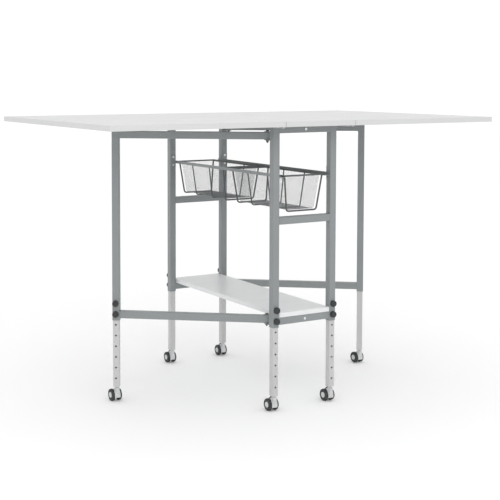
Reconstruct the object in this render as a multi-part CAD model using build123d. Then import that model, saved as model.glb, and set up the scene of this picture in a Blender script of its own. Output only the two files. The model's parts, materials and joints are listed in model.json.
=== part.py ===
from build123d import *
import math
import os

# Folding sewing and cutting table, in millimetres.
# X runs along the opened top, Y across it from the near end to the far end, Z up.
# The origin is on the floor under the middle of the top.

# Top
TOP_HEIGHT = 997.0
TOP_LENGTH = 1556.0
TOP_DEPTH = 940.0
BOARD = 18.0
BOARD_CORNER = 6.0
BOARD_EASE = 0.6
SEAM_X = 143.0
SEAM_GAP = 2.0

# Square tube frame
TUBE = 25.4
TUBE_WALL = 1.2
TUBE_CORNER = 2.6
LEAST_CORNER = 0.5
LEG_X = 118.7
LEG_Y = 366.7
LEG_BOTTOM = 291.0
MIDDLE_BAR_Z = 643.0
BOTTOM_BAR_Z = 299.0

# Angles and screws that hold the boards to the end frames
ANGLE_SHEET = 2.0
ANGLE_HALF_WIDTH = 30.0
ANGLE_LEG = 24.0
BOLT_R = 2.5
BOLT_HEAD_R = 5.0
BOLT_HEAD = 2.4
NUT_R = 4.6
NUT = 4.0
SCREW_X = (-18.0, 18.0)
SCREW_IN_Y = 14.0
SCREW_R = 2.0
SCREW_LENGTH = 13.0
SCREW_HEAD_R = 3.6
SCREW_HEAD = 2.0

# Telescoping feet
INNER_TUBE = 22.2
INNER_CORNER = 2.2
INNER_BOTTOM = 55.7
INNER_LENGTH = 355.0
HOLE_PITCH = 38.1
HOLE_COUNT = 8
LOWEST_HOLE = 84.6
PIN_HOLE_R = 3.3
SOCKET = 19.6
SOCKET_CORNER = 1.0
SOCKET_DEPTH = 22.0
SOCKET_FLANGE = 1.5

# Clamp knobs
KNOB_R = 11.0
KNOB_THICK = 9.5
KNOB_SCREW_R = 3.0
KNOB_FLUTES = 12
FLUTE_R = 1.6
FLUTE_OUT = 0.9
FLUTE_START = 1.0
KNOB_EASE = 3.0
BOSS_R = 7.0
BOSS_THICK = 2.0

# Gates
PIVOT_OUT = 32.0
GATE_REACH_X = 417.3
GATE_REACH_Y = 325.0
GATE_BAR_TOP_Z = 931.0
GATE_CAP = 3.0
CAP_PLUG = 22.6
CAP_PLUG_CORNER = 1.2
CAP_PLUG_DEPTH = 14.0
CAP_EASE = 1.5
BAR_PAST_PIVOT = 10.0
LUG = 2.5
LUG_WIDTH = 22.0
PIVOT_R = 3.0
PIVOT_HEX_R = 5.6
PIVOT_HEAD = 3.6
PIVOT_NUT = 5.0
PIVOT_PAST_NUT = 4.0

# Storage
SHELF_THICK = 16.0
SHELF_HALF_X = 105.0
RAIL_Z = 802.7
RAIL_HEIGHT = 11.0
RAIL_SHEET = 1.5
RAIL_INNER_X = 82.2
RAIL_SCREW_Z = (797.0, 828.0)
RAIL_PLATE_Z = (789.0, 836.0)
RAIL_PLATE_HALF = 11.2
RAIL_SCREW_HEAD_R = 4.4
RAIL_SCREW_HEAD = 2.2
RAIL_SCREW_LENGTH = 9.0
BASKET_LENGTH = 350.0
BASKET_END_Y = 373.0
FAR_BASKET_SHIFT = 7.0
BASKET_RIM_Z = 807.5
BASKET_BASE_Z = 684.0
RIM_HALF_X = 84.0
BASE_HALF_X = 62.0
END_LEAN = 18.0
RIM_WIRE_R = 3.0
RIM_CORNER = 9.0
HOOP_PLACES = (0.0, 104.0, 234.0, 338.0)
HOOP_WIRE_R = (3.0, 2.3, 2.3, 3.0)
HOOP_BEND = 10.0
HOOP_BITE = 0.2
MESH_SHEET = 1.0
TRAY_CORNER = 9.0
TRAY_EDGE = 7.0
TRAY_BELOW_RIM = 2.0

# Leaf hinges
HINGE_Y = (-425.0, 0.0, 425.0)
HINGE_PLATE = 1.5
HINGE_WIDTH = 60.0
HINGE_REACH = 28.0
HINGE_PIN_R = 1.5
KNUCKLE_R = 2.8
KNUCKLE_CLEAR = 0.8
TONGUE_BITE = 1.0
TONGUE_DROP = 0.1
HINGE_AXIS_DROP = 3.0

# Casters
WHEEL_R = 21.0
WHEEL_WIDTH = 11.5
WHEEL_SPACING = 25.5
TYRE_EASE = 3.0
HUB_R = 10.0
HUB_RISE = 4.0
HUB_EASE = 3.0
CASTER_TRAIL = 14.5
WEB_WIDTH = 13.0
WEB_R = 9.0
NECK_DEPTH = 15.0
NECK_HEIGHT = 24.0
NECK_MIDDLE = (-2.0, 38.0)
NECK_CORNER = 3.0
FENDER_R = 23.4
FENDER_INNER_R = 21.8
FENDER_WIDTH = 21.0
FENDER_LOW = 13.5
FENDER_END_Y = 12.5
SHOULDER_LOW = 36.0
SHOULDER_HIGH = 47.0
SEAT_R = 6.5
SEAT_THICK = 5.0
AXLE_R = 3.0
AXLE_BITE = 7.0
STEM_R = 4.0
STEM_TOP = 72.0

# Brake pedals
PEDAL_PIVOT = (8.5, 40.6)
PEDAL_EYE_R = 2.6
PEDAL_EYE_WIDTH = 6.4
PEDAL_PIN_R = 1.5
PEDAL_SLOT = 7.0
PEDAL_WIDTH = 12.0
PEDAL_THICK = 2.4
PEDAL_START = (10.4, 50.2)
PEDAL_END = (24.5, 38.0)

RUN = 0.05    # radial clearance of a pin that turns in its hole
GAP = 0.3     # space between faces that slide past each other
OVER = 1.0    # how far a cut runs past the face it starts at

UNDERSIDE = TOP_HEIGHT - BOARD
HALF_TUBE = TUBE / 2
FRAME_FACE_Y = LEG_Y + HALF_TUBE
INNER_FACE_Y = LEG_Y - HALF_TUBE
TOP_BAR_Z = UNDERSIDE - TUBE
SHELF_Z = BOTTOM_BAR_Z + TUBE
SOCKET_BOTTOM = INNER_BOTTOM - SOCKET_FLANGE
PIVOT_Y = INNER_FACE_Y - PIVOT_OUT
GATE_LENGTH = math.hypot(GATE_REACH_X, GATE_REACH_Y)
GATE_ANGLE = math.degrees(math.atan2(GATE_REACH_Y, -GATE_REACH_X))
KNOB_Z = [LOWEST_HOLE + HOLE_PITCH * step for step in (HOLE_COUNT - 2, HOLE_COUNT - 1)]

os.makedirs("parts", exist_ok=True)


def save(name, solids):
    shape = solids[0] if len(solids) == 1 else Compound(children=list(solids))
    export_step(shape, "parts/" + name + ".step")


def block(low, high):
    size = [b - a for a, b in zip(low, high)]
    middle = [(a + b) / 2 for a, b in zip(low, high)]
    return Pos(*middle) * Box(*size)


def rod(start, direction, radius, length):
    plane = Plane(origin=start, z_dir=direction)
    return plane * Cylinder(radius, length, align=(Align.CENTER, Align.CENTER, Align.MIN))


def square_tube(size, corner, wall, length):
    """Upright square tube standing on z = 0, open at both ends."""
    outline = RectangleRounded(size, size, corner)
    hollow = RectangleRounded(size - 2 * wall, size - 2 * wall, max(corner - wall, LEAST_CORNER))
    return extrude(outline - hollow, length)


def as_solids(shape):
    return list(shape.solids())


def half_turn(shape):
    return Rot(0, 0, 180) * shape


# ---- places of the six legs: name -> (location, sign of the face that carries the knobs) ----

def gate_place(side):
    """Frame of a gate: origin on its pivot at floor level, X along the gate's bars."""
    left = Pos(-LEG_X, -PIVOT_Y, 0) * Rot(0, 0, GATE_ANGLE)
    return left if side < 0 else Rot(0, 0, 180) * left


def leg_places():
    places = {
        "near_left": Pos(-LEG_X, -LEG_Y, 0),
        "near_right": Pos(LEG_X, -LEG_Y, 0),
        "far_left": Pos(-LEG_X, LEG_Y, 0) * Rot(0, 0, 180),
        "far_right": Pos(LEG_X, LEG_Y, 0) * Rot(0, 0, 180),
        "left_gate": gate_place(-1) * Pos(GATE_LENGTH, 0, 0) * Rot(0, 0, 180),
        "right_gate": gate_place(1) * Pos(GATE_LENGTH, 0, 0) * Rot(0, 0, 180),
    }
    return places


# ---- boards ----

def board(x_low, x_high, outer_corners):
    slab = block((x_low, -TOP_DEPTH / 2, UNDERSIDE), (x_high, TOP_DEPTH / 2, TOP_HEIGHT))
    corners = [
        edge for edge in slab.edges().filter_by(Axis.Z)
        if any(abs(edge.center().X - x) < BOARD_EASE for x in outer_corners)
    ]
    if corners:
        slab = fillet(corners, BOARD_CORNER)
    rims = slab.faces().filter_by(Axis.Z).edges()
    return chamfer(rims, BOARD_EASE)


def board_screw_points():
    points = []
    for end in (-1, 1):
        for x in SCREW_X:
            for z in (UNDERSIDE, SHELF_Z):
                points.append((x, end * (INNER_FACE_Y - SCREW_IN_Y), z))
    return points


def screw_shank(point):
    """Shank of a wood screw that goes up through an angle's sheet into the board above point."""
    x, y, z = point
    return rod((x, y, z - ANGLE_SHEET), (0, 0, 1), SCREW_R, SCREW_LENGTH)


def make_boards():
    screws = [screw_shank(point) for point in board_screw_points()]
    centre = board(-SEAM_X + SEAM_GAP / 2, SEAM_X - SEAM_GAP / 2, ())
    inner = SEAM_X + SEAM_GAP / 2
    outer = TOP_LENGTH / 2
    shelf = block(
        (-SHELF_HALF_X, -FRAME_FACE_Y, SHELF_Z),
        (SHELF_HALF_X, FRAME_FACE_Y, SHELF_Z + SHELF_THICK),
    )
    shelf = chamfer(shelf.edges(), BOARD_EASE)
    for screw in screws:
        centre = centre - screw
        shelf = shelf - screw
    save("centre_panel", [centre])
    save("left_leaf", [board(-outer, -inner, (-outer,))])
    save("right_leaf", [board(inner, outer, (outer,))])
    save("storage_shelf", [shelf])


# ---- end frames ----

def knob_hole(z):
    return rod((0, 0, z), (0, -1, 0), KNOB_SCREW_R + RUN, HALF_TUBE + BOSS_THICK + OVER)


def outer_leg(top, screw_heights=()):
    """Outer leg tube about its own axis, with the knobs' bosses on its -Y face."""
    leg = Pos(0, 0, LEG_BOTTOM) * square_tube(TUBE, TUBE_CORNER, TUBE_WALL, top - LEG_BOTTOM)
    for z in KNOB_Z:
        leg = leg + rod((0, -HALF_TUBE, z), (0, -1, 0), BOSS_R, BOSS_THICK)
        leg = leg - knob_hole(z)
    for z in screw_heights:
        leg = leg - rod((0, 0, z), (0, 1, 0), BOLT_R, TUBE)
    return leg


def cross_bar(z):
    length = 2 * (LEG_X - HALF_TUBE)
    tube = square_tube(TUBE, TUBE_CORNER, TUBE_WALL, length)
    return Pos(-length / 2, 0, z + HALF_TUBE) * Rot(0, 90, 0) * tube


def make_end_frames():
    places = leg_places()
    leg = outer_leg(UNDERSIDE, RAIL_SCREW_Z)
    corners = ("near_left", "near_right", "far_left", "far_right")
    save("frame_leg_tubes", [places[corner] * leg for corner in corners])
    bolt_hole = rod((0, -TUBE, HALF_TUBE), (0, 1, 0), BOLT_R, 2 * TUBE)
    bars = [cross_bar(MIDDLE_BAR_Z)]
    bars += [cross_bar(z) - Pos(0, 0, z) * bolt_hole for z in (TOP_BAR_Z, BOTTOM_BAR_Z)]
    save("cross_bars", [Pos(0, end * LEG_Y, 0) * bar for end in (-1, 1) for bar in bars])


def mounting_angle(z_top):
    """Angle on the near bar's inner face, its flat leg under the board at z_top."""
    face = -INNER_FACE_Y
    half = ANGLE_HALF_WIDTH
    upright = block((-half, face, z_top - ANGLE_LEG), (half, face + ANGLE_SHEET, z_top))
    flat = block((-half, face, z_top - ANGLE_SHEET), (half, face + ANGLE_LEG, z_top))
    angle = upright + flat
    angle = angle - rod((0, face - ANGLE_SHEET, z_top - HALF_TUBE), (0, 1, 0), BOLT_R, 3 * ANGLE_SHEET)
    for x in SCREW_X:
        hole_start = (x, face + SCREW_IN_Y, z_top - 2 * ANGLE_SHEET)
        angle = angle - rod(hole_start, (0, 0, 1), SCREW_R, 3 * ANGLE_SHEET)
    return angle


def frame_bolt(z_top):
    """Bolt through the near bar and its angle, with the nut behind the angle."""
    z = z_top - HALF_TUBE
    head = rod((0, -FRAME_FACE_Y, z), (0, -1, 0), BOLT_HEAD_R, BOLT_HEAD)
    head = fillet(head.edges().group_by(Axis.Y)[0], BOLT_HEAD / 2)
    nut_y = -INNER_FACE_Y + ANGLE_SHEET
    nut = extrude(Plane(origin=(0, nut_y, z), z_dir=(0, 1, 0)) * RegularPolygon(NUT_R, 6), NUT)
    shank = rod((0, -FRAME_FACE_Y - BOLT_HEAD / 2, z), (0, 1, 0), BOLT_R, TUBE + ANGLE_SHEET + 2 * NUT)
    return head + shank + nut


def board_screw(point):
    x, y, z = point
    head = rod((x, y, z - ANGLE_SHEET - SCREW_HEAD), (0, 0, 1), SCREW_HEAD_R, SCREW_HEAD)
    return screw_shank(point) + head


def make_joining_pieces():
    heights = (UNDERSIDE, SHELF_Z)
    angles = [mounting_angle(z) for z in heights]
    bolts = [frame_bolt(z) for z in heights]
    save("mounting_angles", angles + [half_turn(angle) for angle in angles])
    save("frame_bolts", bolts + [half_turn(bolt) for bolt in bolts])


# ---- basket rails and baskets ----

def basket_rail():
    """Right-hand rail: an angle whose flat leg carries the basket's rim, with two end plates."""
    outer_x = SHELF_HALF_X
    web = block(
        (outer_x - RAIL_SHEET, -FRAME_FACE_Y, RAIL_Z), (outer_x, FRAME_FACE_Y, RAIL_Z + RAIL_HEIGHT)
    )
    ledge = block(
        (RAIL_INNER_X, -FRAME_FACE_Y, RAIL_Z), (outer_x, FRAME_FACE_Y, RAIL_Z + RAIL_SHEET)
    )
    rail = web + ledge
    plate_low, plate_high = RAIL_PLATE_Z
    for end in (-1, 1):
        y_low, y_high = sorted((end * INNER_FACE_Y, end * (INNER_FACE_Y - RAIL_SHEET)))
        plate = block(
            (LEG_X - RAIL_PLATE_HALF, y_low, plate_low), (LEG_X + RAIL_PLATE_HALF, y_high, plate_high)
        )
        tongue = block(
            (outer_x - RAIL_SHEET, y_low, RAIL_Z), (LEG_X, y_high, RAIL_Z + RAIL_HEIGHT)
        )
        for z in RAIL_SCREW_Z:
            plate = plate - rod((LEG_X, y_low - OVER, z), (0, 1, 0), BOLT_R, RAIL_SHEET + 2 * OVER)
        rail = rail + plate + tongue
    return rail


def rail_screw(z):
    face = -INNER_FACE_Y + RAIL_SHEET
    head = rod((LEG_X, face, z), (0, 1, 0), RAIL_SCREW_HEAD_R, RAIL_SCREW_HEAD)
    head = fillet(head.edges().group_by(Axis.Y)[-1], RAIL_SCREW_HEAD / 2)
    shank_start = (LEG_X, face + RAIL_SCREW_HEAD / 2, z)
    return head + rod(shank_start, (0, -1, 0), BOLT_R, RAIL_SCREW_LENGTH)


def make_rails():
    rail = basket_rail()
    save("basket_rails", [rail, half_turn(rail)])
    screws = [rail_screw(z) for z in RAIL_SCREW_Z]
    screws += [mirror(screw, Plane.XZ) for screw in screws]
    screws += [half_turn(screw) for screw in screws]
    screws += [board_screw(point) for point in board_screw_points()]
    save("rail_and_board_screws", screws)


def wire_along(path, radius):
    start = path @ 0
    section = Plane(origin=start, z_dir=path % 0) * Circle(radius)
    return sweep(section, path=path)


def hoop(index):
    """U-shaped wire of the near basket, inside its rim, number index from the near end."""
    radius = HOOP_WIRE_R[index]
    inset = RIM_WIRE_R + HOOP_WIRE_R[0]
    rim_y = -BASKET_END_Y + inset + HOOP_PLACES[index]
    share = HOOP_PLACES[index] / HOOP_PLACES[-1]
    base_y = -BASKET_END_Y + END_LEAN + share * (BASKET_LENGTH - 2 * END_LEAN)
    rim_x = RIM_HALF_X - RIM_WIRE_R - radius + HOOP_BITE
    corners = [
        (-rim_x, rim_y, BASKET_RIM_Z),
        (-BASE_HALF_X, base_y, BASKET_BASE_Z),
        (BASE_HALF_X, base_y, BASKET_BASE_Z),
        (rim_x, rim_y, BASKET_RIM_Z),
    ]
    return wire_along(FilletPolyline(*corners, radius=HOOP_BEND), radius)


def basket_frame():
    middle_y = -BASKET_END_Y + BASKET_LENGTH / 2
    outline = RectangleRounded(2 * RIM_HALF_X, BASKET_LENGTH, RIM_CORNER)
    frame = wire_along(Pos(0, middle_y, BASKET_RIM_Z) * outline.wire(), RIM_WIRE_R)
    for index in range(len(HOOP_PLACES)):
        frame = frame + hoop(index)
    return frame


def tray(sink):
    """Closed tapered block inside the hoops, sunk inwards on every side by sink."""
    middle_y = -BASKET_END_Y + BASKET_LENGTH / 2
    thickest = max(HOOP_WIRE_R)
    inside = thickest + GAP + sink
    hoop_in = RIM_WIRE_R + thickest
    base_z = BASKET_BASE_Z + inside
    slope = (RIM_HALF_X - hoop_in - BASE_HALF_X) / (BASKET_RIM_Z - BASKET_BASE_Z)
    inwards = hoop_in + inside + TRAY_BELOW_RIM * slope
    top = Plane(origin=(0, middle_y, BASKET_RIM_Z - TRAY_BELOW_RIM)) * RectangleRounded(
        2 * (RIM_HALF_X - inwards), BASKET_LENGTH - 2 * inwards, TRAY_CORNER
    )
    base = Plane(origin=(0, middle_y, base_z)) * RectangleRounded(
        2 * (BASE_HALF_X - inside), BASKET_LENGTH - 2 * (END_LEAN + inside), TRAY_CORNER
    )
    solid = loft([base, top])
    return fillet(solid.faces().sort_by(Axis.Z)[0].edges(), TRAY_EDGE)


def make_baskets():
    frame = basket_frame()
    inner = tray(MESH_SHEET)
    mesh = tray(0) - inner - Pos(0, 0, TRAY_BELOW_RIM) * inner
    across = Pos(0, FAR_BASKET_SHIFT, 0) * Rot(0, 0, 180)
    save("near_basket_frame", [frame])
    save("near_basket_mesh", [mesh])
    save("far_basket_frame", [across * frame])
    save("far_basket_mesh", [across * mesh])


# ---- leaf hinges ----

def pin_bore(y_low, y_high):
    start = (SEAM_X, y_low - OVER, UNDERSIDE - HINGE_AXIS_DROP)
    return rod(start, (0, 1, 0), HINGE_PIN_R + RUN, y_high - y_low + 2 * OVER)


def knuckle(y_low, y_high):
    axis_z = UNDERSIDE - HINGE_AXIS_DROP
    barrel = rod((SEAM_X, y_low, axis_z), (0, 1, 0), KNUCKLE_R, y_high - y_low)
    return barrel - pin_bore(y_low, y_high)


def hinge_plate(side, knuckles, middle):
    """Right-hand hinge plate: side -1 lies under the centre panel, side 1 under the leaf."""
    half = HINGE_WIDTH / 2
    clear = KNUCKLE_R + KNUCKLE_CLEAR
    x_low, x_high = sorted((SEAM_X + side * clear, SEAM_X + side * HINGE_REACH))
    z_low = UNDERSIDE - HINGE_PLATE
    plate = block((x_low, middle - half, z_low), (x_high, middle + half, UNDERSIDE))
    for y_low, y_high in knuckles:
        low, high = middle + y_low, middle + y_high
        x_low, x_high = sorted((SEAM_X, SEAM_X + side * (clear + TONGUE_BITE)))
        tongue = block((x_low, low, z_low), (x_high, high, UNDERSIDE - TONGUE_DROP))
        plate = plate + (tongue - pin_bore(low, high)) + knuckle(low, high)
    return plate


def make_leaf_hinges():
    half = HINGE_WIDTH / 2
    third = HINGE_WIDTH / 6
    outer_knuckles = [(-half, -third - GAP), (third + GAP, half)]
    middle_knuckle = [(-third, third)]
    axis_z = UNDERSIDE - HINGE_AXIS_DROP
    fixed = [hinge_plate(-1, outer_knuckles, y) for y in HINGE_Y]
    moving = [hinge_plate(1, middle_knuckle, y) for y in HINGE_Y]
    pins = [rod((SEAM_X, y - half, axis_z), (0, 1, 0), HINGE_PIN_R, HINGE_WIDTH) for y in HINGE_Y]
    save("centre_hinge_plates", fixed + [half_turn(plate) for plate in fixed])
    save("leaf_hinge_pins", pins + [half_turn(pin) for pin in pins])
    save("right_hinge_plates", moving)
    save("left_hinge_plates", [half_turn(plate) for plate in moving])


# ---- gates ----

def pivot_bore(z):
    return rod((0, 0, z - TUBE), (0, 0, 1), PIVOT_R + RUN, 3 * TUBE)


def gate_bar(z):
    """Gate bar in the gate's own frame, from just past the pivot to the leg's near face."""
    length = GATE_LENGTH - HALF_TUBE + BAR_PAST_PIVOT
    tube = Rot(0, 90, 0) * square_tube(TUBE, TUBE_CORNER, TUBE_WALL, length)
    return Pos(-BAR_PAST_PIVOT, 0, z + HALF_TUBE) * tube - pivot_bore(z)


def gate_cap(top):
    flange = extrude(RectangleRounded(TUBE, TUBE, TUBE_CORNER), GATE_CAP)
    flange = fillet(flange.faces().sort_by(Axis.Z)[-1].edges(), CAP_EASE)
    plug = extrude(RectangleRounded(CAP_PLUG, CAP_PLUG, CAP_PLUG_CORNER), -CAP_PLUG_DEPTH)
    return Pos(0, 0, top - GATE_CAP) * (flange + plug)


def hinge_bracket(z):
    """U-shaped bracket on the near-left leg's inner face, around the gate bar that starts at z."""
    back_y = -INNER_FACE_Y
    low = z - GAP - LUG
    high = z + TUBE + GAP + LUG
    half = LUG_WIDTH / 2
    back = block((-LEG_X - half, back_y, low), (-LEG_X + half, back_y + LUG, high))
    bracket = back
    for lug_z in (low, high - LUG):
        arm = block((-LEG_X - half, back_y, lug_z), (-LEG_X + half, -PIVOT_Y, lug_z + LUG))
        tip = rod((-LEG_X, -PIVOT_Y, lug_z), (0, 0, 1), half, LUG)
        bracket = bracket + arm + tip
    return bracket - Pos(-LEG_X, -PIVOT_Y, 0) * pivot_bore(z)


def hinge_bolt(z):
    low = z - GAP - LUG
    high = z + TUBE + GAP + LUG
    bottom = low - PIVOT_NUT - PIVOT_PAST_NUT
    shank = rod((0, 0, bottom), (0, 0, 1), PIVOT_R, high - bottom + PIVOT_HEAD / 2)
    head = extrude(Plane(origin=(0, 0, high)) * RegularPolygon(PIVOT_HEX_R, 6), PIVOT_HEAD)
    nut = extrude(Plane(origin=(0, 0, low - PIVOT_NUT)) * RegularPolygon(PIVOT_HEX_R, 6), PIVOT_NUT)
    return Pos(-LEG_X, -PIVOT_Y, 0) * (shank + head + nut)


def make_gates():
    bar_heights = (GATE_BAR_TOP_Z, BOTTOM_BAR_Z)
    top = UNDERSIDE - GAP
    leg = outer_leg(top - GATE_CAP)
    places = leg_places()
    for side, name in ((-1, "left"), (1, "right")):
        place = gate_place(side)
        save(name + "_gate_leg", [places[name + "_gate"] * leg])
        save(name + "_gate_bars", [place * gate_bar(z) for z in bar_heights])
        save(name + "_gate_cap", [places[name + "_gate"] * gate_cap(top)])
    brackets = [hinge_bracket(z) for z in bar_heights]
    bolts = [hinge_bolt(z) for z in bar_heights]
    save("gate_hinge_brackets", brackets + [half_turn(bracket) for bracket in brackets])
    save("gate_hinge_bolts", bolts + [half_turn(bolt) for bolt in bolts])


# ---- telescoping feet, knobs and casters ----

def extension():
    """Inner tube with the row of holes in its -Y wall, and the socket for the caster's stem."""
    tube = Pos(0, 0, INNER_BOTTOM) * square_tube(INNER_TUBE, INNER_CORNER, TUBE_WALL, INNER_LENGTH)
    for step in range(HOLE_COUNT):
        z = LOWEST_HOLE + HOLE_PITCH * step
        tube = tube - rod((0, 0, z), (0, -1, 0), PIN_HOLE_R, INNER_TUBE)
    flange = extrude(RectangleRounded(INNER_TUBE, INNER_TUBE, INNER_CORNER), SOCKET_FLANGE)
    plug = extrude(RectangleRounded(SOCKET, SOCKET, SOCKET_CORNER), SOCKET_DEPTH)
    bore = Cylinder(STEM_R + RUN, 3 * SOCKET_DEPTH)
    return [tube, Pos(0, 0, SOCKET_BOTTOM) * (flange + plug - bore)]


def knob():
    """Clamp knob on the -Y face, its screw's tip just clear of the inner tube."""
    seat = HALF_TUBE + BOSS_THICK + GAP
    head = rod((0, -seat, 0), (0, -1, 0), KNOB_R, KNOB_THICK)
    head = fillet(head.edges().group_by(Axis.Y)[0], KNOB_EASE)
    for step in range(KNOB_FLUTES):
        angle = 2 * math.pi * step / KNOB_FLUTES
        reach = KNOB_R + FLUTE_OUT
        start = (reach * math.cos(angle), -seat - FLUTE_START, reach * math.sin(angle))
        head = head - rod(start, (0, -1, 0), FLUTE_R, KNOB_THICK)
    tip = INNER_TUBE / 2 + GAP
    screw = rod((0, -tip, 0), (0, -1, 0), KNOB_SCREW_R, seat - tip + KNOB_EASE)
    return head + screw


def across_caster(profile, width):
    """Profile drawn in the caster's Y-Z plane, given a width along X about its middle."""
    return extrude(Plane.YZ.offset(-width / 2) * profile, width)


def shoulders(depth):
    """Block with the housing's outline as seen from the front: narrow at the top."""
    wide = FENDER_WIDTH / 2
    outline = make_face(Polyline(
        (-wide, 0), (wide, 0), (wide, SHOULDER_LOW), (SEAT_R, SHOULDER_HIGH), (SEAT_R, STEM_TOP),
        (-SEAT_R, STEM_TOP), (-SEAT_R, SHOULDER_HIGH), (-wide, SHOULDER_LOW),
        close=True,
    ))
    return extrude(Plane.XZ.offset(-2 * depth) * outline, 4 * depth)


def caster_body(braked):
    """Housing between the wheels, its stem on the leg's axis and the axle trailing in +Y."""
    axle = Pos(CASTER_TRAIL, WHEEL_R)
    neck = Pos(*NECK_MIDDLE) * RectangleRounded(NECK_DEPTH, NECK_HEIGHT, NECK_CORNER)
    web = make_hull((axle * Circle(WEB_R) + neck).edges())
    reach = 2 * FENDER_R
    front = Pos(FENDER_END_Y - reach / 2, FENDER_LOW + reach / 2) * Rectangle(reach, reach)
    shield = axle * Circle(FENDER_R) & front
    fender = (axle * Circle(FENDER_R) - axle * Circle(FENDER_INNER_R)) & front
    body = across_caster(web, WEB_WIDTH) + across_caster(shield, WEB_WIDTH)
    body = (body + across_caster(fender, FENDER_WIDTH)) & shoulders(reach)
    seat_top = SOCKET_BOTTOM - GAP
    body = body + rod((0, 0, seat_top), (0, 0, -1), SEAT_R, SEAT_THICK)
    body = body + rod((0, 0, seat_top - SEAT_THICK), (0, 0, 1), STEM_R, STEM_TOP - seat_top + SEAT_THICK)
    bore_start = (-FENDER_WIDTH, CASTER_TRAIL, WHEEL_R)
    body = body - rod(bore_start, (1, 0, 0), AXLE_R + RUN, 2 * FENDER_WIDTH)
    if braked:
        y, z = PEDAL_PIVOT
        room = PEDAL_EYE_R + PEDAL_SLOT - PEDAL_EYE_WIDTH
        half = PEDAL_SLOT / 2
        top = seat_top - SEAT_THICK
        body = body - block((-half, y - room, z - room), (half, CASTER_TRAIL + FENDER_R, top))
        body = body - rod((-WEB_WIDTH, y, z), (1, 0, 0), PEDAL_PIN_R + RUN, 2 * WEB_WIDTH)
    return body


def brake_pedal():
    """Pedal with its eye and pin in the housing's slot, sloping down behind the housing."""
    y, z = PEDAL_PIVOT
    slope = math.atan2(PEDAL_END[1] - PEDAL_START[1], PEDAL_END[0] - PEDAL_START[0])
    down = (PEDAL_THICK * math.sin(slope), -PEDAL_THICK * math.cos(slope))
    plate = make_face(Polyline(
        PEDAL_START, PEDAL_END,
        (PEDAL_END[0] + down[0], PEDAL_END[1] + down[1]),
        (PEDAL_START[0] + down[0], PEDAL_START[1] + down[1]),
        close=True,
    ))
    tread = across_caster(plate, PEDAL_WIDTH)
    tread = fillet(tread.edges().filter_by(Axis.X), PEDAL_THICK / 3)
    root = Pos(PEDAL_START[0] + PEDAL_THICK / 2, PEDAL_START[1] - PEDAL_THICK) * Circle(PEDAL_THICK / 3)
    arm = across_caster(make_hull((Pos(y, z) * Circle(PEDAL_EYE_R) + root).edges()), PEDAL_EYE_WIDTH)
    pin = rod((-WEB_WIDTH / 2, y, z), (1, 0, 0), PEDAL_PIN_R, WEB_WIDTH)
    return tread + arm + pin


def caster_wheels():
    """Two wheels and the axle that joins them."""
    pieces = []
    inner = (WHEEL_SPACING - WHEEL_WIDTH) / 2
    for side in (-1, 1):
        tyre = rod((side * inner, CASTER_TRAIL, WHEEL_R), (side, 0, 0), WHEEL_R, WHEEL_WIDTH)
        tyre = fillet(tyre.edges().filter_by(GeomType.CIRCLE), TYRE_EASE)
        face = side * (inner + WHEEL_WIDTH)
        hub = rod((face - side * HUB_RISE, CASTER_TRAIL, WHEEL_R), (side, 0, 0), HUB_R, 2 * HUB_RISE)
        hub = fillet(hub.edges().filter_by(GeomType.CIRCLE).sort_by(Axis.X)[-1 if side > 0 else 0], HUB_EASE)
        bore = rod((side * (inner - OVER), CASTER_TRAIL, WHEEL_R), (side, 0, 0), AXLE_R, AXLE_BITE + OVER)
        pieces.append(tyre + hub - bore)
    reach = inner + AXLE_BITE
    pieces.append(rod((-reach, CASTER_TRAIL, WHEEL_R), (1, 0, 0), AXLE_R, 2 * reach))
    return pieces


def make_feet():
    foot = extension()
    clamp = knob()
    wheels = caster_wheels()
    pedal = brake_pedal()
    bodies = {braked: caster_body(braked) for braked in (True, False)}
    for name, place in leg_places().items():
        braked = "gate" not in name
        upright = Pos(place.position)
        save(name + "_extension", [place * piece for piece in foot])
        save(name + "_lower_knob", [place * Pos(0, 0, KNOB_Z[0]) * clamp])
        save(name + "_upper_knob", [place * Pos(0, 0, KNOB_Z[1]) * clamp])
        save(name + "_caster_body", [upright * bodies[braked]])
        save(name + "_caster_wheels", [upright * piece for piece in wheels])
        if braked:
            save(name + "_caster_brake", [upright * pedal])


make_boards()
make_end_frames()
make_joining_pieces()
make_rails()
make_baskets()
make_leaf_hinges()
make_gates()
make_feet()
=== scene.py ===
import json
import math

import bmesh
import bpy
from mathutils import Matrix, Vector


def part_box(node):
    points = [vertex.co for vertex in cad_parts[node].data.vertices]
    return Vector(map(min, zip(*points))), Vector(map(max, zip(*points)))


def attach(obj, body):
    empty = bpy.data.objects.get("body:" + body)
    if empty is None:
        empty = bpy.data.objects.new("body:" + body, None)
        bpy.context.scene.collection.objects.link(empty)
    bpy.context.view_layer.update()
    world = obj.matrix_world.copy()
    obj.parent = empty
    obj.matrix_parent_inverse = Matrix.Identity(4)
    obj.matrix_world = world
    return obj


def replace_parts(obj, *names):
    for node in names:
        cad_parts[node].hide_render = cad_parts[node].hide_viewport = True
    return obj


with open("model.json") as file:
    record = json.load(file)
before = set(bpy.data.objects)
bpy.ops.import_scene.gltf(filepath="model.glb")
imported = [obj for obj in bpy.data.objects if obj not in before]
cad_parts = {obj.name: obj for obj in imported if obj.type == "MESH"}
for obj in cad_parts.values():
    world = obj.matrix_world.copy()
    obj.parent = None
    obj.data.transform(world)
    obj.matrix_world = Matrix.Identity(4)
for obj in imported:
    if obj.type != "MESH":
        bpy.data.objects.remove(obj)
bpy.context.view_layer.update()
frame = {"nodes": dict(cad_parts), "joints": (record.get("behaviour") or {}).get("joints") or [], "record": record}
NODES = frame["nodes"]
NODE_BODY = {node: body for body, nodes in frame["record"]["behaviour"]["bodies"].items() for node in nodes}
JOINTS = {joint["name"]: joint for joint in frame["joints"]}
MM = 0.001

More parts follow.
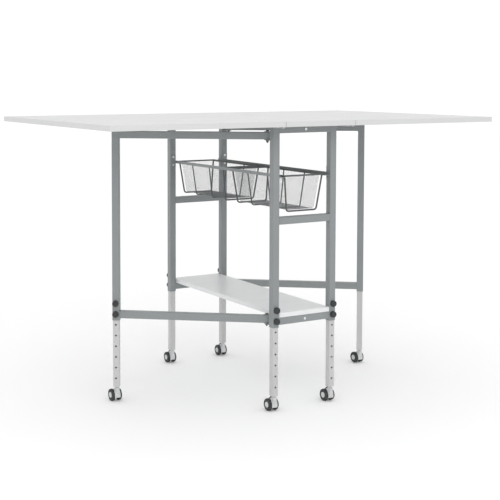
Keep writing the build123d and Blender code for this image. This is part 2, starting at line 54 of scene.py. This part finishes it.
LEGS = ("near_left", "near_right", "far_left", "far_right", "left_gate", "right_gate")
UP = Vector((0, 0, 1))
SMOOTH_ANGLE = 35.0           # degrees; edges that turn less than this are shaded smooth
ROUND_ANGLE = 60.0            # the same, for thin strands and weld beads
MIX_FIRST, MIX_SECOND, MIX_COLOR = 6, 7, 2    # the mix node's colour sockets: two inputs, one output


# ------------------------------------------------------------------ materials

def new_material(name, color, roughness, metallic=0.0, specular=0.5):
    material = bpy.data.materials.new(name)
    material.use_nodes = True
    shader = material.node_tree.nodes["Principled BSDF"]
    shader.inputs["Base Color"].default_value = (*color, 1.0)
    shader.inputs["Roughness"].default_value = roughness
    shader.inputs["Metallic"].default_value = metallic
    shader.inputs["Specular IOR Level"].default_value = specular
    return material, material.node_tree, shader


def object_coordinates(tree, stretch=(1.0, 1.0, 1.0)):
    source = tree.nodes.new("ShaderNodeTexCoord")
    mapping = tree.nodes.new("ShaderNodeMapping")
    mapping.inputs["Scale"].default_value = stretch
    tree.links.new(source.outputs["Object"], mapping.inputs["Vector"])
    return mapping.outputs["Vector"]


def noise(tree, vector, scale, detail=3.0, rough=0.55):
    node = tree.nodes.new("ShaderNodeTexNoise")
    node.inputs["Scale"].default_value = scale
    node.inputs["Detail"].default_value = detail
    node.inputs["Roughness"].default_value = rough
    tree.links.new(vector, node.inputs["Vector"])
    return node.outputs["Fac"]


def remap(tree, value, low, high, to_low=0.0, to_high=1.0):
    node = tree.nodes.new("ShaderNodeMapRange")
    node.inputs["From Min"].default_value = low
    node.inputs["From Max"].default_value = high
    node.inputs["To Min"].default_value = to_low
    node.inputs["To Max"].default_value = to_high
    tree.links.new(value, node.inputs["Value"])
    return node.outputs["Result"]


def blend_color(tree, factor, first, second):
    """Mix of two colours; either may be an RGB tuple or another node's output."""
    node = tree.nodes.new("ShaderNodeMix")
    node.data_type = "RGBA"
    tree.links.new(factor, node.inputs["Factor"])
    for socket, value in ((node.inputs[MIX_FIRST], first), (node.inputs[MIX_SECOND], second)):
        if isinstance(value, tuple):
            socket.default_value = (*value, 1.0)
        else:
            tree.links.new(value, socket)
    return node.outputs[MIX_COLOR]


def add_bump(tree, shader, height, strength, distance, below=None):
    node = tree.nodes.new("ShaderNodeBump")
    node.inputs["Strength"].default_value = strength
    node.inputs["Distance"].default_value = distance
    tree.links.new(height, node.inputs["Height"])
    if below is not None:
        tree.links.new(below, node.inputs["Normal"])
    tree.links.new(node.outputs["Normal"], shader.inputs["Normal"])
    return node.outputs["Normal"]


def scaled(color, factor):
    return tuple(min(1.0, channel * factor) for channel in color)


def painted_steel(name, color, scuff_color, metallic=0.1, roughness=0.42, scuffs=0.25):
    """Satin powder paint: fine orange peel, an almost even tone, and a few rubbed spots."""
    material, tree, shader = new_material(name, color, roughness, metallic)
    place = object_coordinates(tree)
    cloud = remap(tree, noise(tree, place, 5.0), 0.3, 0.7)
    tone = blend_color(tree, cloud, scaled(color, 0.975), scaled(color, 1.025))
    fleck = remap(tree, noise(tree, place, 1500.0, 2.0), 0.35, 0.65, 0.0, 0.08)
    flecked = blend_color(tree, fleck, tone, scaled(color, 1.35))
    rubs = noise(tree, object_coordinates(tree, (1.0, 1.0, 0.4)), 70.0, 5.0)
    rubbed = remap(tree, rubs, 0.68, 0.76, 0.0, scuffs)
    tree.links.new(blend_color(tree, rubbed, flecked, scuff_color), shader.inputs["Base Color"])
    streak = noise(tree, object_coordinates(tree, (1.0, 1.0, 0.15)), 45.0)
    tree.links.new(remap(tree, streak, 0.3, 0.7, roughness - 0.04, roughness + 0.06),
                   shader.inputs["Roughness"])
    add_bump(tree, shader, noise(tree, place, 700.0, 2.0), 0.08, 0.0004)
    return material


def laminate(name, color, roughness=0.36):
    """White melamine face: faint pebbled press texture, with a little uneven tone and rub marks."""
    material, tree, shader = new_material(name, color, roughness, 0.0, 0.45)
    place = object_coordinates(tree)
    cloud = remap(tree, noise(tree, place, 2.6, 4.0), 0.3, 0.7)
    tone = blend_color(tree, cloud, scaled(color, 0.975), scaled(color, 1.0))
    dust = remap(tree, noise(tree, place, 240.0, 2.0), 0.60, 0.72, 0.0, 0.10)
    tree.links.new(blend_color(tree, dust, tone, scaled(color, 0.80)), shader.inputs["Base Color"])
    rub = noise(tree, object_coordinates(tree, (0.35, 1.6, 1.0)), 22.0, 5.0)
    tree.links.new(remap(tree, rub, 0.35, 0.7, roughness - 0.05, roughness + 0.10),
                   shader.inputs["Roughness"])
    pebble = tree.nodes.new("ShaderNodeTexVoronoi")
    pebble.inputs["Scale"].default_value = 900.0
    tree.links.new(place, pebble.inputs["Vector"])
    grain = add_bump(tree, shader, pebble.outputs["Distance"], 0.08, 0.0003)
    add_bump(tree, shader, noise(tree, place, 3.0, 2.0), 0.05, 0.002, grain)
    return material


def moulded_plastic(name, color, roughness=0.45, grain=1100.0, strength=0.16):
    """Fine spark-eroded plastic texture with slightly uneven tone and gloss."""
    material, tree, shader = new_material(name, color, roughness, 0.0, 0.5)
    place = object_coordinates(tree)
    tone = remap(tree, noise(tree, place, 55.0), 0.3, 0.7)
    tree.links.new(blend_color(tree, tone, scaled(color, 0.88), scaled(color, 1.10)),
                   shader.inputs["Base Color"])
    tree.links.new(remap(tree, noise(tree, place, 130.0), 0.3, 0.7, roughness - 0.07, roughness + 0.08),
                   shader.inputs["Roughness"])
    add_bump(tree, shader, noise(tree, place, grain, 2.0), strength, 0.0003)
    return material


def tyre_rubber(name, color):
    """Hard grey-black rubber with scuffed, dusty patches."""
    material, tree, shader = new_material(name, color, 0.68, 0.0, 0.3)
    place = object_coordinates(tree)
    dusty = remap(tree, noise(tree, place, 150.0, 4.0), 0.50, 0.70, 0.0, 0.45)
    tree.links.new(blend_color(tree, dusty, color, (0.16, 0.16, 0.155)), shader.inputs["Base Color"])
    tree.links.new(remap(tree, noise(tree, place, 90.0), 0.3, 0.7, 0.58, 0.80), shader.inputs["Roughness"])
    add_bump(tree, shader, noise(tree, place, 900.0, 3.0), 0.22, 0.0004)
    return material


def plated_steel(name, color, roughness=0.28):
    """Zinc plate with faint spangle and fine drawn lines."""
    material, tree, shader = new_material(name, color, roughness, 1.0, 0.5)
    place = object_coordinates(tree)
    spangle = tree.nodes.new("ShaderNodeTexVoronoi")
    spangle.inputs["Scale"].default_value = 420.0
    tree.links.new(place, spangle.inputs["Vector"])
    shade = remap(tree, spangle.outputs["Distance"], 0.0, 0.8)
    tree.links.new(blend_color(tree, shade, scaled(color, 0.86), scaled(color, 1.08)),
                   shader.inputs["Base Color"])
    tree.links.new(remap(tree, noise(tree, place, 200.0), 0.3, 0.7, roughness - 0.07, roughness + 0.12),
                   shader.inputs["Roughness"])
    add_bump(tree, shader, noise(tree, object_coordinates(tree, (1.0, 1.0, 6.0)), 500.0), 0.08, 0.0002)
    return material


MATERIALS = {
    "white_laminate": laminate("white_laminate", (0.605, 0.61, 0.607)),
    # The shelf gets a lighter copy of the tabletop's white laminate: painted light that evens out the shade the
    # tabletop casts on it.
    "shelf_laminate": laminate("shelf_laminate", (0.74, 0.75, 0.755)),
    "grey_paint": painted_steel("grey_paint", (0.24, 0.257, 0.261), (0.45, 0.46, 0.46)),
    "inner_tube_paint": painted_steel("inner_tube_paint", (0.505, 0.51, 0.505), (0.66, 0.67, 0.67),
                                      0.15, 0.38),
    "knob_plastic": moulded_plastic("knob_plastic", (0.026, 0.029, 0.029), 0.42),
    "caster_plastic": moulded_plastic("caster_plastic", (0.58, 0.59, 0.59), 0.42),
    "tyre_rubber": tyre_rubber("tyre_rubber", (0.035, 0.040, 0.042)),
    "zinc_steel": plated_steel("zinc_steel", (0.72, 0.73, 0.74)),
    "hinge_steel": plated_steel("hinge_steel", (0.42, 0.43, 0.44), 0.36),
    "black_steel": painted_steel("black_steel", (0.045, 0.047, 0.05), (0.25, 0.25, 0.25), 0.3, 0.38),
    "mesh_paint": painted_steel("mesh_paint", (0.175, 0.185, 0.19), (0.35, 0.35, 0.35), 0.2, 0.42),
    "wire_paint": painted_steel("wire_paint", (0.095, 0.104, 0.104), (0.3, 0.3, 0.3), 0.2, 0.40),
}


def dress_cad_nodes():
    for part in frame["record"]["subparts"]:
        mesh = NODES[part["node"]].data
        mesh.materials.clear()
        mesh.materials.append(MATERIALS[part["material_slot"]])


# ------------------------------------------------------------------ mesh helpers

def add_piece(name, mesh, body, slot, smooth_angle=SMOOTH_ANGLE):
    """Finished piece from a bmesh: in the row frame, riding on a body, with its slot's material."""
    bmesh.ops.recalc_face_normals(mesh, faces=mesh.faces)
    limit = math.radians(smooth_angle)
    for edge in mesh.edges:
        edge.smooth = len(edge.link_faces) == 2 and edge.calc_face_angle(0.0) < limit
    for face in mesh.faces:
        face.smooth = True
    data = bpy.data.meshes.new(name)
    mesh.to_mesh(data)
    mesh.free()
    piece = bpy.data.objects.new(name, data)
    bpy.context.scene.collection.objects.link(piece)
    data.materials.append(MATERIALS[slot])
    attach(piece, body)
    return piece


def along(start, direction):
    """Placement whose +Z is direction, starting at start."""
    return Matrix.Translation(start) @ UP.rotation_difference(Vector(direction)).to_matrix().to_4x4()


def lathe(mesh, profile, place, steps=48):
    """Closed surface of revolution: profile is (radius, height) from the axis back to the axis."""
    rings = []
    for radius, height in profile:
        if radius < 1e-7:
            rings.append([mesh.verts.new(place @ Vector((0, 0, height)))])
            continue
        ring = []
        for step in range(steps):
            turn = 2 * math.pi * step / steps
            point = Vector((radius * math.cos(turn), radius * math.sin(turn), height))
            ring.append(mesh.verts.new(place @ point))
        rings.append(ring)
    for first, second in zip(rings, rings[1:]):
        for step in range(steps):
            ahead = (step + 1) % steps
            corners = [first[step % len(first)], first[ahead % len(first)],
                       second[ahead % len(second)], second[step % len(second)]]
            unique = list(dict.fromkeys(corners))
            if len(unique) > 2:
                mesh.faces.new(unique)


def bridge(mesh, rings):
    """Quads from each ring of points to the next; every ring has the same number of points."""
    for first, second in zip(rings, rings[1:]):
        for step in range(len(first)):
            ahead = (step + 1) % len(first)
            mesh.faces.new((first[step], first[ahead], second[ahead], second[step]))


def arc(cx, cy, radius, start, end, steps):
    """Points of an arc in the (radius, height) plane, angles in degrees."""
    points = []
    for step in range(steps + 1):
        angle = math.radians(start + (end - start) * step / steps)
        points.append((cx + radius * math.cos(angle), cy + radius * math.sin(angle)))
    return points


RECESS_REACH = 0.62           # shares of the screw head's radius
RECESS_HALF = 0.13
RECESS_DEPTH = 0.75           # share of the screw head's rise


def pan_head(mesh, place, radius, rise, rings=14, steps=64):
    """Domed screw head standing on place's origin, with a cross recess sunk in its top."""
    recess_reach = radius * RECESS_REACH
    recess_half = radius * RECESS_HALF
    recess_depth = rise * RECESS_DEPTH

    def height(x, y, share):
        dome = rise * math.sqrt(max(0.0, 1.0 - share ** 4))
        far = max(abs(x), abs(y))
        if min(abs(x), abs(y)) < recess_half and far < recess_reach:
            return dome - recess_depth * (1.0 - 0.5 * far / recess_reach)
        return dome

    previous = [mesh.verts.new(place @ Vector((0, 0, height(0, 0, 0))))] * steps
    for ring_number in range(1, rings + 1):
        share = ring_number / rings
        current = []
        for step in range(steps):
            turn = 2 * math.pi * step / steps
            x = radius * share * math.cos(turn)
            y = radius * share * math.sin(turn)
            current.append(mesh.verts.new(place @ Vector((x, y, height(x, y, share)))))
        for step in range(steps):
            ahead = (step + 1) % steps
            corners = dict.fromkeys((previous[step], current[step], current[ahead], previous[ahead]))
            mesh.faces.new(list(corners))
        previous = current
    mesh.faces.new(previous)


# ------------------------------------------------------------------ knobs, screws, plugs and welds

KNOB_CAP_RADIUS = 6.2 * MM
KNOB_CAP_RISE = 0.9 * MM
HINGES_AT = (-425.0 * MM, 0.0, 425.0 * MM)
PLATE_SHEET = 1.5 * MM
PLATE_SCREW_RADIUS = 3.4 * MM
PLATE_SCREW_RISE = 1.6 * MM
PLATE_SCREW_IN = 13.0 * MM
PLATE_SCREW_APART = 17.0 * MM
TUBE_HALF = 12.7 * MM
TUBE_FLAT = 9.6 * MM          # half the length of a weld across the tube's flat face
MIDDLE_BAR_Z = 643.0 * MM
BAR_PAST_PIVOT = 10.0 * MM
WELD_RADIUS = 1.3 * MM
WELD_SUNK = WELD_RADIUS * 0.4
WELD_PITCH = 2.2 * MM
WELD_RIPPLE = 0.14            # share of the bead's radius that its ripples swing through
WELD_RINGS_A_RIPPLE = 4
WELD_END_SHARE = 0.3
PLUG_HALF = 12.3 * MM
PLUG_STEM_HALF = 11.0 * MM
PLUG_STEM = 4.0 * MM
PLUG_RISE = 1.4 * MM
PLUG_EASE = 1.0 * MM
PLUG_CORNER = 2.0 * MM
PLUG_POINTS = 32


def knob_cap_profile():
    """Raised ring and shallow dish in the middle of a clamp knob's face."""
    radius, rise = KNOB_CAP_RADIUS, KNOB_CAP_RISE
    return [(0, -rise), (radius, -rise), (radius, rise * 0.55), (radius * 0.93, rise), (radius * 0.80, rise),
            (radius * 0.70, rise * 0.35), (radius * 0.25, rise * 0.15), (0, rise * 0.15)]


def make_knob_caps():
    first = "near_left_lower_knob"
    face_out = JOINTS[first + "_turn"]["pos_m"][1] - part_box(first)[0].y
    for leg in LEGS:
        for level in ("lower", "upper"):
            node = leg + "_" + level + "_knob"
            joint = JOINTS[node + "_turn"]
            outwards = Vector(joint["axis"])
            face = Vector(joint["pos_m"]) + outwards * face_out
            cap = bmesh.new()
            lathe(cap, knob_cap_profile(), along(face, outwards), 48)
            add_piece(node + "_cap", cap, NODE_BODY[node], "knob_plastic")


def make_plate_screws():
    """Pan-head screws that hold the leaf hinge plates up against the boards."""
    plates = {"centre_hinge_plates": (-1, 1), "left_hinge_plates": (-1,), "right_hinge_plates": (1,)}
    for node, sides in plates.items():
        low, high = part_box(node)
        screws = bmesh.new()
        columns = [low.x + PLATE_SCREW_IN if side < 0 else high.x - PLATE_SCREW_IN for side in sides]
        plate_face = high.z - PLATE_SHEET
        for x in columns:
            for middle in HINGES_AT:
                for y in (middle - PLATE_SCREW_APART, middle + PLATE_SCREW_APART):
                    pan_head(screws, along(Vector((x, y, plate_face)), (0, 0, -1)), PLATE_SCREW_RADIUS,
                             PLATE_SCREW_RISE)
        add_piece(node.replace("plates", "screws"), screws, NODE_BODY[node], "zinc_steel")


def bead(mesh, start, end, steps=10):
    """Rippled weld bead from start to end."""
    way = end - start
    count = int(way.length / (WELD_PITCH / WELD_RINGS_A_RIPPLE))
    rings = []
    place = along(start, way)
    for index in range(count + 1):
        share = index / count
        ripple = math.cos(2 * math.pi * share * way.length / WELD_PITCH)
        swell = WELD_RADIUS * (1 - WELD_RIPPLE + WELD_RIPPLE * ripple)
        if index in (0, count):
            swell = WELD_RADIUS * WELD_END_SHARE
        rings.append([
            mesh.verts.new(place @ Vector((swell * math.cos(2 * math.pi * step / steps),
                                           swell * math.sin(2 * math.pi * step / steps), way.length * share)))
            for step in range(steps)
        ])
    bridge(mesh, rings)
    mesh.faces.new(rings[0])
    mesh.faces.new(rings[-1])


def make_frame_welds():
    """Fillet welds where each cross bar meets its two legs, on the faces that show."""
    low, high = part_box("cross_bars")
    bars_at = (low.z + TUBE_HALF, MIDDLE_BAR_Z + TUBE_HALF, high.z - TUBE_HALF)
    welds = bmesh.new()
    for x in (low.x, high.x):
        for y in (low.y + TUBE_HALF, high.y - TUBE_HALF):
            for z in bars_at:
                for side in (-1, 1):
                    foot = Vector((x, y + side * (TUBE_HALF - WELD_SUNK), z - TUBE_FLAT))
                    bead(welds, foot, foot + Vector((0, 0, 2 * TUBE_FLAT)))
                under = Vector((x, y - TUBE_FLAT, z - TUBE_HALF + WELD_SUNK))
                bead(welds, under, under + Vector((0, 2 * TUBE_FLAT, 0)))
    add_piece("frame_welds", welds, NODE_BODY["cross_bars"], "grey_paint", ROUND_ANGLE)


def gate_axes(side):
    """A gate's pivot, its leg's axis and the direction from one to the other, on the floor."""
    pivot = Vector(JOINTS[side + "_gate_swing"]["pos_m"])
    leg = Vector(JOINTS[side + "_gate_caster_swivel"]["pos_m"])
    pivot.z = 0.0
    leg.z = 0.0
    return pivot, leg, (leg - pivot).normalized()


def make_gate_details():
    """Welds between each gate's bars and leg, and the plugs in the bars' pivot ends."""
    for side in ("left", "right"):
        pivot, leg, way = gate_axes(side)
        across = Vector((-way.y, way.x, 0))
        low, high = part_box(side + "_gate_bars")
        welds = bmesh.new()
        plugs = bmesh.new()
        for z in (low.z + TUBE_HALF, high.z - TUBE_HALF):
            joint = leg - way * TUBE_HALF
            for face in (-1, 1):
                foot = joint + across * (face * (TUBE_HALF - WELD_SUNK))
                foot.z = z - TUBE_FLAT
                bead(welds, foot, foot + Vector((0, 0, 2 * TUBE_FLAT)))
            end = pivot - way * BAR_PAST_PIVOT
            end.z = z
            facing = Matrix((-across, UP, -way)).transposed().to_4x4()
            plug(plugs, Matrix.Translation(end) @ facing)
        body = NODE_BODY[side + "_gate_bars"]
        add_piece(side + "_gate_welds", welds, body, "grey_paint", ROUND_ANGLE)
        add_piece(side + "_gate_plugs", plugs, body, "knob_plastic")


def plug(mesh, place):
    """Square plug with eased edges, in the open end of a tube."""
    levels = ((PLUG_STEM_HALF, -PLUG_STEM), (PLUG_STEM_HALF, 0.0), (PLUG_HALF, 0.0),
              (PLUG_HALF, PLUG_RISE * 0.4), (PLUG_HALF - PLUG_EASE, PLUG_RISE))
    rings = []
    for half, height in levels:
        rings.append([mesh.verts.new(place @ Vector((x, y, height)))
                      for x, y in rounded_loop(half, half, PLUG_CORNER, PLUG_POINTS)])
    bridge(mesh, rings)
    mesh.faces.new(rings[0])
    mesh.faces.new(rings[-1])


# ------------------------------------------------------------------ baskets

BASE_HALF_X_INSIDE = 58.3 * MM
BASE_SHORTER = 11.7 * MM
NET_CORNER = 9.0 * MM
FOLD_RADIUS = 7.0 * MM
FOLD_START = 0.7             # share of the fold's radius where the flat base net ends
STRAND_THICK = 0.4 * MM
STRAND_WIDTH = 0.40 * MM
CELL_HALF_X = 4.1 * MM
CELL_HALF_Y = 2.5 * MM
CELLS_AROUND = 240
CELL_ROWS = 50


def rounded_loop(half_x, half_y, corner, count):
    """Even points around a rounded rectangle about the origin."""
    quarter = math.pi * corner / 2
    runs = [2 * (half_x - corner), quarter, 2 * (half_y - corner), quarter] * 2
    corners = [
        (half_x - corner, -half_y + corner, -90), (half_x - corner, half_y - corner, 0),
        (-half_x + corner, half_y - corner, 90), (-half_x + corner, -half_y + corner, 180),
    ]
    starts = [(-half_x + corner, -half_y), (half_x, -half_y + corner),
              (half_x - corner, half_y), (-half_x, half_y - corner)]
    ways = [(1, 0), (0, 1), (-1, 0), (0, -1)]
    points = []
    for index in range(count):
        distance = sum(runs) * index / count
        side = 0
        while distance > runs[side]:
            distance -= runs[side]
            side += 1
        if side % 2 == 0:
            start, way = starts[side // 2], ways[side // 2]
            points.append((start[0] + way[0] * distance, start[1] + way[1] * distance))
        else:
            x, y, angle = corners[side // 2]
            turn = math.radians(angle + 90 * distance / quarter)
            points.append((x + corner * math.cos(turn), y + corner * math.sin(turn)))
    return points


def diamond_strands(mesh, diamonds, before=frozenset()):
    """Turns diamond faces into a net of square strands, and drops the grid points left over."""
    mesh.normal_update()
    bmesh.ops.wireframe(mesh, faces=diamonds, thickness=STRAND_WIDTH, offset=0.0, use_replace=True,
                        use_boundary=True, use_even_offset=True, use_relative_offset=False)
    loose = [vert for vert in mesh.verts if vert not in before and not vert.link_faces]
    bmesh.ops.delete(mesh, geom=loose, context="VERTS")


def base_rounding(height):
    """How far the wall is pulled in at this height above the base, by the fold into the base."""
    if height >= FOLD_RADIUS:
        return 0.0
    return FOLD_RADIUS - math.sqrt(max(0.0, FOLD_RADIUS ** 2 - (FOLD_RADIUS - height) ** 2))


def add_wall_net(mesh, low, high, middle, base, top):
    """Belt of diamonds around the four walls, folding in at the foot."""
    skin = STRAND_THICK
    grid = []
    for row in range(CELL_ROWS + 1):
        share = row / CELL_ROWS
        half_x = base[0] + (top[0] - base[0]) * share
        half_y = base[1] + (top[1] - base[1]) * share
        z = low.z + skin + (high.z - low.z - 2 * skin) * share
        pull = base_rounding(z - low.z)
        ring = rounded_loop(half_x - pull, half_y - pull, NET_CORNER, CELLS_AROUND)
        grid.append([mesh.verts.new((middle.x + x, middle.y + y, z)) for x, y in ring])
    diamonds = []
    for row in range(0, CELL_ROWS - 1):
        for step in range(row % 2, CELLS_AROUND, 2):
            left = grid[row + 1][(step - 1) % CELLS_AROUND]
            right = grid[row + 1][(step + 1) % CELLS_AROUND]
            diamonds.append(mesh.faces.new((grid[row][step], right, grid[row + 2][step], left)))
    diamond_strands(mesh, diamonds)


def add_base_net(mesh, middle, z, half):
    """Diamond net over the flat base."""
    reach_x = half[0] - FOLD_RADIUS * FOLD_START
    reach_y = half[1] - FOLD_RADIUS * FOLD_START
    count_x = int(reach_x / CELL_HALF_X)
    count_y = int(reach_y / CELL_HALF_Y)
    before = set(mesh.verts)
    points = {}

    def point(i, j):
        if (i, j) not in points:
            x = middle.x + i * reach_x / count_x
            y = middle.y + j * reach_y / count_y
            points[(i, j)] = mesh.verts.new((x, y, z))
        return points[(i, j)]

    diamonds = []
    for i in range(-count_x + 1, count_x):
        for j in range(-count_y + 1, count_y):
            if (i + j) % 2 == 0:
                corners = (point(i - 1, j), point(i, j - 1), point(i + 1, j), point(i, j + 1))
                diamonds.append(mesh.faces.new(corners))
    diamond_strands(mesh, diamonds, before)


def basket_net(side):
    """Expanded steel net of one basket: the walls as one belt, and the base."""
    node = side + "_basket_mesh"
    low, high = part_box(node)
    middle = (low + high) / 2
    half = (high - low) / 2
    top = (half.x - STRAND_THICK, half.y - STRAND_THICK)
    base = (BASE_HALF_X_INSIDE, top[1] - BASE_SHORTER)
    net = bmesh.new()
    add_wall_net(net, low, high, middle, base, top)
    add_base_net(net, middle, low.z + STRAND_THICK, base)
    return add_piece(side + "_basket_netting", net, NODE_BODY[node], "mesh_paint", ROUND_ANGLE)


def make_baskets():
    for side in ("near", "far"):
        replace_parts(basket_net(side), side + "_basket_mesh")


# ------------------------------------------------------------------ casters

TYRE_WIDTH = 11.5 * MM
TYRE_OFFSET = 12.75 * MM
TYRE_BORE = 9.6 * MM
TYRE_SHOULDER = 3.2 * MM
TREAD_GROOVE = 0.5 * MM
TREAD_GROOVES_AT = (-1.6 * MM, 1.6 * MM)
HUB_RADIUS = 9.9 * MM
HUB_RISE = 4.0 * MM
AXLE_RADIUS = 3.0 * MM
AXLE_HALF = 12.0 * MM
HUB_RIBS = 5
HUB_RIB_HALF = 0.6 * MM


def tyre_profile(radius):
    """Tyre cross-section from bore to bore: rounded shoulders and two shallow grooves in the tread."""
    half = TYRE_WIDTH / 2
    dish = 0.6 * MM
    lip = TREAD_GROOVE / 2
    points = [(TYRE_BORE, -half + dish)]
    points += arc(radius - TYRE_SHOULDER, -half + TYRE_SHOULDER, TYRE_SHOULDER, -90, 0, 8)
    for middle in TREAD_GROOVES_AT:
        points += [(radius, middle - 2 * lip), (radius - TREAD_GROOVE, middle - lip),
                   (radius - TREAD_GROOVE, middle + lip), (radius, middle + 2 * lip)]
    points += arc(radius - TYRE_SHOULDER, half - TYRE_SHOULDER, TYRE_SHOULDER, 0, 90, 8)
    points += [(TYRE_BORE, half - dish)]
    return points


def ring(mesh, profile, place, steps=64):
    """Closed ring of revolution: profile is a closed outline away from the axis."""
    rings = []
    for radius, height in profile:
        rings.append([
            mesh.verts.new(place @ Vector((radius * math.cos(2 * math.pi * step / steps),
                                           radius * math.sin(2 * math.pi * step / steps), height)))
            for step in range(steps)
        ])
    bridge(mesh, rings + rings[:1])


def hub_profile():
    """Hub disc from its inner boss to its domed outer face, around the axle."""
    half = TYRE_WIDTH / 2
    dome = [(HUB_RADIUS * share, half + HUB_RISE * math.sqrt(1 - share ** 2) * 0.8)
            for share in (0.98, 0.92, 0.84, 0.74, 0.62, 0.50, 0.40)]
    return [
        (0, -half + 0.4 * MM), (HUB_RADIUS * 0.5, -half + 0.4 * MM), (HUB_RADIUS * 0.55, -half + 2.0 * MM),
        (HUB_RADIUS, -half + 2.0 * MM), (HUB_RADIUS, half),
    ] + dome + [
        (HUB_RADIUS * 0.37, half + HUB_RISE * 0.60), (HUB_RADIUS * 0.30, half + HUB_RISE * 0.60),
        (HUB_RADIUS * 0.27, half + HUB_RISE * 0.95), (0, half + HUB_RISE),
    ]


def add_ribs(mesh, place):
    """Low ribs across the hub's domed face."""
    for index in range(HUB_RIBS):
        turn = Matrix.Rotation(2 * math.pi * index / HUB_RIBS, 4, "Z")
        foot = TYRE_WIDTH / 2
        corners = []
        for share in (0.42, 0.90):
            crest = foot + HUB_RISE * (0.8 * math.sqrt(1 - share ** 2) + 0.10)
            for y in (-HUB_RIB_HALF, HUB_RIB_HALF):
                for z in (foot, crest):
                    corners.append(mesh.verts.new(place @ turn @ Vector((HUB_RADIUS * share, y, z))))
        for indices in ((0, 1, 3, 2), (4, 6, 7, 5), (0, 4, 5, 1), (2, 3, 7, 6), (0, 2, 6, 4), (1, 5, 7, 3)):
            mesh.faces.new([corners[i] for i in indices])


def make_casters():
    for leg in LEGS:
        node = leg + "_caster_wheels"
        low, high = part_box(node)
        middle = (low + high) / 2
        radius = (high.z - low.z) / 2
        tyres = bmesh.new()
        hubs = bmesh.new()
        for side in (-1, 1):
            place = along(middle + Vector((side * TYRE_OFFSET, 0, 0)), (side, 0, 0))
            ring(tyres, tyre_profile(radius), place)
            lathe(hubs, hub_profile(), place, 64)
            add_ribs(hubs, place)
        axle = [(0, -AXLE_HALF), (AXLE_RADIUS, -AXLE_HALF), (AXLE_RADIUS, AXLE_HALF), (0, AXLE_HALF)]
        lathe(hubs, axle, along(middle, (1, 0, 0)), 24)
        tyre = add_piece(leg + "_tyres", tyres, NODE_BODY[node], "tyre_rubber")
        add_piece(leg + "_hubs", hubs, NODE_BODY[node], "caster_plastic")
        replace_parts(tyre, node)


# ------------------------------------------------------------------ stage, light and camera

FLOOR_HALF = 14.0
FLOOR_CELLS = 24
FLOOR_LEVEL = -0.5 * MM
FLOOR_TONE = 0.96
WORLD_STRENGTH = 1.05
KEY_PLACE = (-1.6, -3.6, 3.0)
KEY_TARGET = (0, 0, 0.4)
KEY_SIZE = (3.0, 2.2)
KEY_WATTS = 30.0
SENSOR_WIDTH = 36.0
FOCAL_SHARE = 2.1786          # focal length over the picture's width
CAMERA_SHIFT = (0.1147, -0.2089)
CAMERA_PLACE = (-2.1675, -3.4274, 1.1381)
CAMERA_DOWN = 3.52            # degrees below level
CAMERA_TURN = 29.48           # degrees to the right of +Y


def make_stage():
    mesh = bmesh.new()
    places = [FLOOR_HALF * (i / FLOOR_CELLS - 0.5) * 2 for i in range(FLOOR_CELLS + 1)]
    grid = [[mesh.verts.new((x, y, FLOOR_LEVEL)) for y in places] for x in places]
    for i in range(FLOOR_CELLS):
        for j in range(FLOOR_CELLS):
            mesh.faces.new((grid[i][j], grid[i + 1][j], grid[i + 1][j + 1], grid[i][j + 1]))
    data = bpy.data.meshes.new("floor")
    mesh.to_mesh(data)
    mesh.free()
    floor = bpy.data.objects.new("floor", data)
    bpy.context.scene.collection.objects.link(floor)
    data.materials.append(new_material("studio_floor", (FLOOR_TONE,) * 3, 0.85, 0.0, 0.1)[0])


def area_light(name, place, target, size, watts):
    data = bpy.data.lights.new(name, "AREA")
    data.shape = "RECTANGLE"
    data.size = size[0]
    data.size_y = size[1]
    data.energy = watts
    light = bpy.data.objects.new(name, data)
    bpy.context.scene.collection.objects.link(light)
    light.location = place
    light.rotation_euler = (Vector(target) - Vector(place)).to_track_quat("-Z", "Y").to_euler()


def make_lights():
    world = bpy.data.worlds.new("studio")
    bpy.context.scene.world = world
    world.use_nodes = True
    background = world.node_tree.nodes["Background"]
    background.inputs["Color"].default_value = (1.0, 1.0, 1.0, 1.0)
    background.inputs["Strength"].default_value = WORLD_STRENGTH
    area_light("key", KEY_PLACE, KEY_TARGET, KEY_SIZE, KEY_WATTS)
    bpy.context.scene.view_settings.view_transform = "Standard"


def make_camera():
    data = bpy.data.cameras.new("camera")
    data.sensor_width = SENSOR_WIDTH
    data.lens = FOCAL_SHARE * SENSOR_WIDTH
    data.shift_x, data.shift_y = CAMERA_SHIFT
    data.dof.use_dof = False
    camera = bpy.data.objects.new("camera", data)
    bpy.context.scene.collection.objects.link(camera)
    camera.location = CAMERA_PLACE
    camera.rotation_euler = (math.radians(90 - CAMERA_DOWN), 0.0, math.radians(-CAMERA_TURN))
    bpy.context.scene.camera = camera


dress_cad_nodes()
make_baskets()
make_casters()
make_knob_caps()
make_plate_screws()
make_frame_welds()
make_gate_details()
make_stage()
make_lights()
make_camera()
